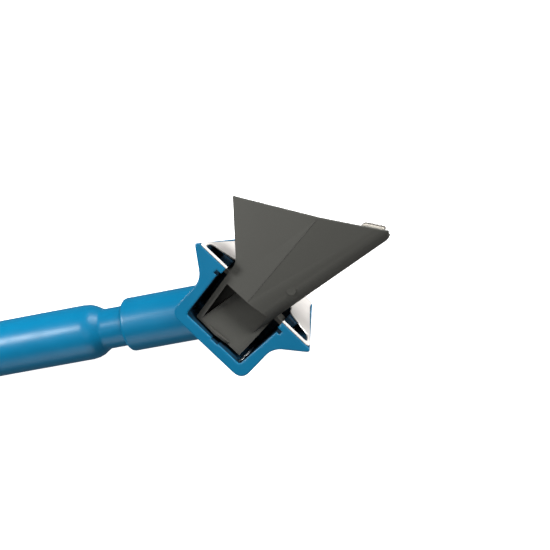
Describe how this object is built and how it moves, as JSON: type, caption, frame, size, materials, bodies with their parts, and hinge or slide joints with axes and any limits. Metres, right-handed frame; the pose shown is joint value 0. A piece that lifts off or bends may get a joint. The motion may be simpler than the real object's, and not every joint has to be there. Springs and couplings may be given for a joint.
{
  "type": "paint pad edger",
  "caption": "Hand tool with a cranked round handle, an open trough head with two hollow wings and a steel sole, and a slide-in flared guard that carries a paint pad.",
  "frame": {"origin": "middle of the head's closed end face, on the surface the tool lies on and right under the handle's axis", "axes": "+X across the sole from wing to wing, +Y the way the sole faces, +Z from the head's closed end to its open end; the handle runs towards -Y and is canted 34.2 degrees towards -X"},
  "size_m": [0.1679, 0.2735, 0.056],
  "materials": {
    "blue_moulding": "glossy moulded",
    "charcoal_moulding": "matte moulded",
    "sole_steel": "satin",
    "steel": "zinc plated",
    "brass": "turned",
    "backing_card": "matt sheet",
    "pad_foam": "open-cell foam",
    "pad_nap": "short pile"
  },
  "bodies": {
    "tool": {"head_shell": "blue_moulding", "sole_plate": "sole_steel", "plate_screw_left": "steel", "plate_screw_right": "steel", "retaining_spring": "steel", "handle_socket": "blue_moulding", "grip_body": "blue_moulding", "handle_bolt": "steel", "bolt_washer": "steel", "bolt_nut": "steel", "anti_twist_pin": "steel", "pole_insert": "brass"},
    "guard": {"guard_shell": "charcoal_moulding", "guard_back": "charcoal_moulding", "guard_screw_1": "steel", "guard_screw_2": "steel", "guard_screw_3": "steel"},
    "pad": {"pad_backing": "backing_card", "pad_foam": "pad_foam", "pad_nap": "pad_nap"},
    "plug": {"butt_plug": "charcoal_moulding"}
  },
  "joints": [
    {"name": "guard_slide", "type": "slide", "parent": "tool", "child": "guard", "axis": [0, 0, 1], "range_m": [0, 0.045]},
    {"name": "pad_pull", "type": "slide", "parent": "guard", "child": "pad", "axis": [0, 0, -1], "range_m": [0, 0.02]},
    {"name": "plug_pull", "type": "slide", "parent": "tool", "child": "plug", "axis": [-0.5621, -0.8271, 0], "range_m": [0, 0.03]}
  ]
}
